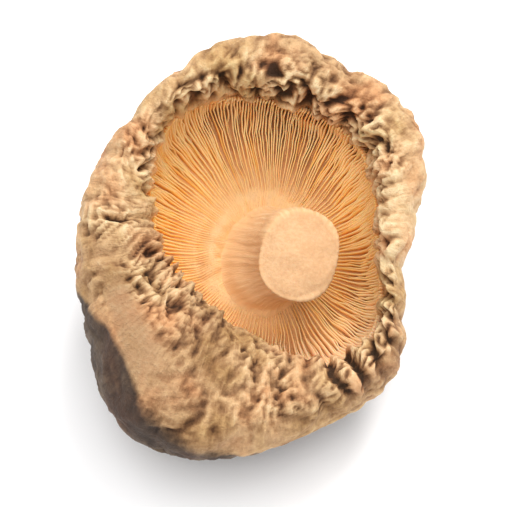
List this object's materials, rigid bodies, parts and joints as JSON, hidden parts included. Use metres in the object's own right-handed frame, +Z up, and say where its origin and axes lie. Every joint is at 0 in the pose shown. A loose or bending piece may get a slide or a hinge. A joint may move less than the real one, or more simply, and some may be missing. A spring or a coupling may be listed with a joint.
{
  "type": "dried shiitake mushroom",
  "caption": "Whole dried shiitake lying on its cap, gills up: wrinkled rim rolled inwards round a bowl of radial gills, short leaning stem with a cut end.",
  "frame": {"origin": "middle of the footprint, on the surface that the mushroom lies on", "axes": "+Z up, away from the surface, -Y the side that the mouth of the cap leans towards, +Y along the cap's long way"},
  "size_m": [0.039, 0.049, 0.0255],
  "materials": {
    "cap_skin": "matt leathery dried skin, taupe brown with pale cream ridges and dark creases",
    "gills": "matt dried gills, amber with paler edges",
    "stem_flesh": "matt fibrous dried flesh, pale straw"
  },
  "bodies": {
    "root": {"dried_shiitake": "cap_skin"}
  },
  "joints": []
}
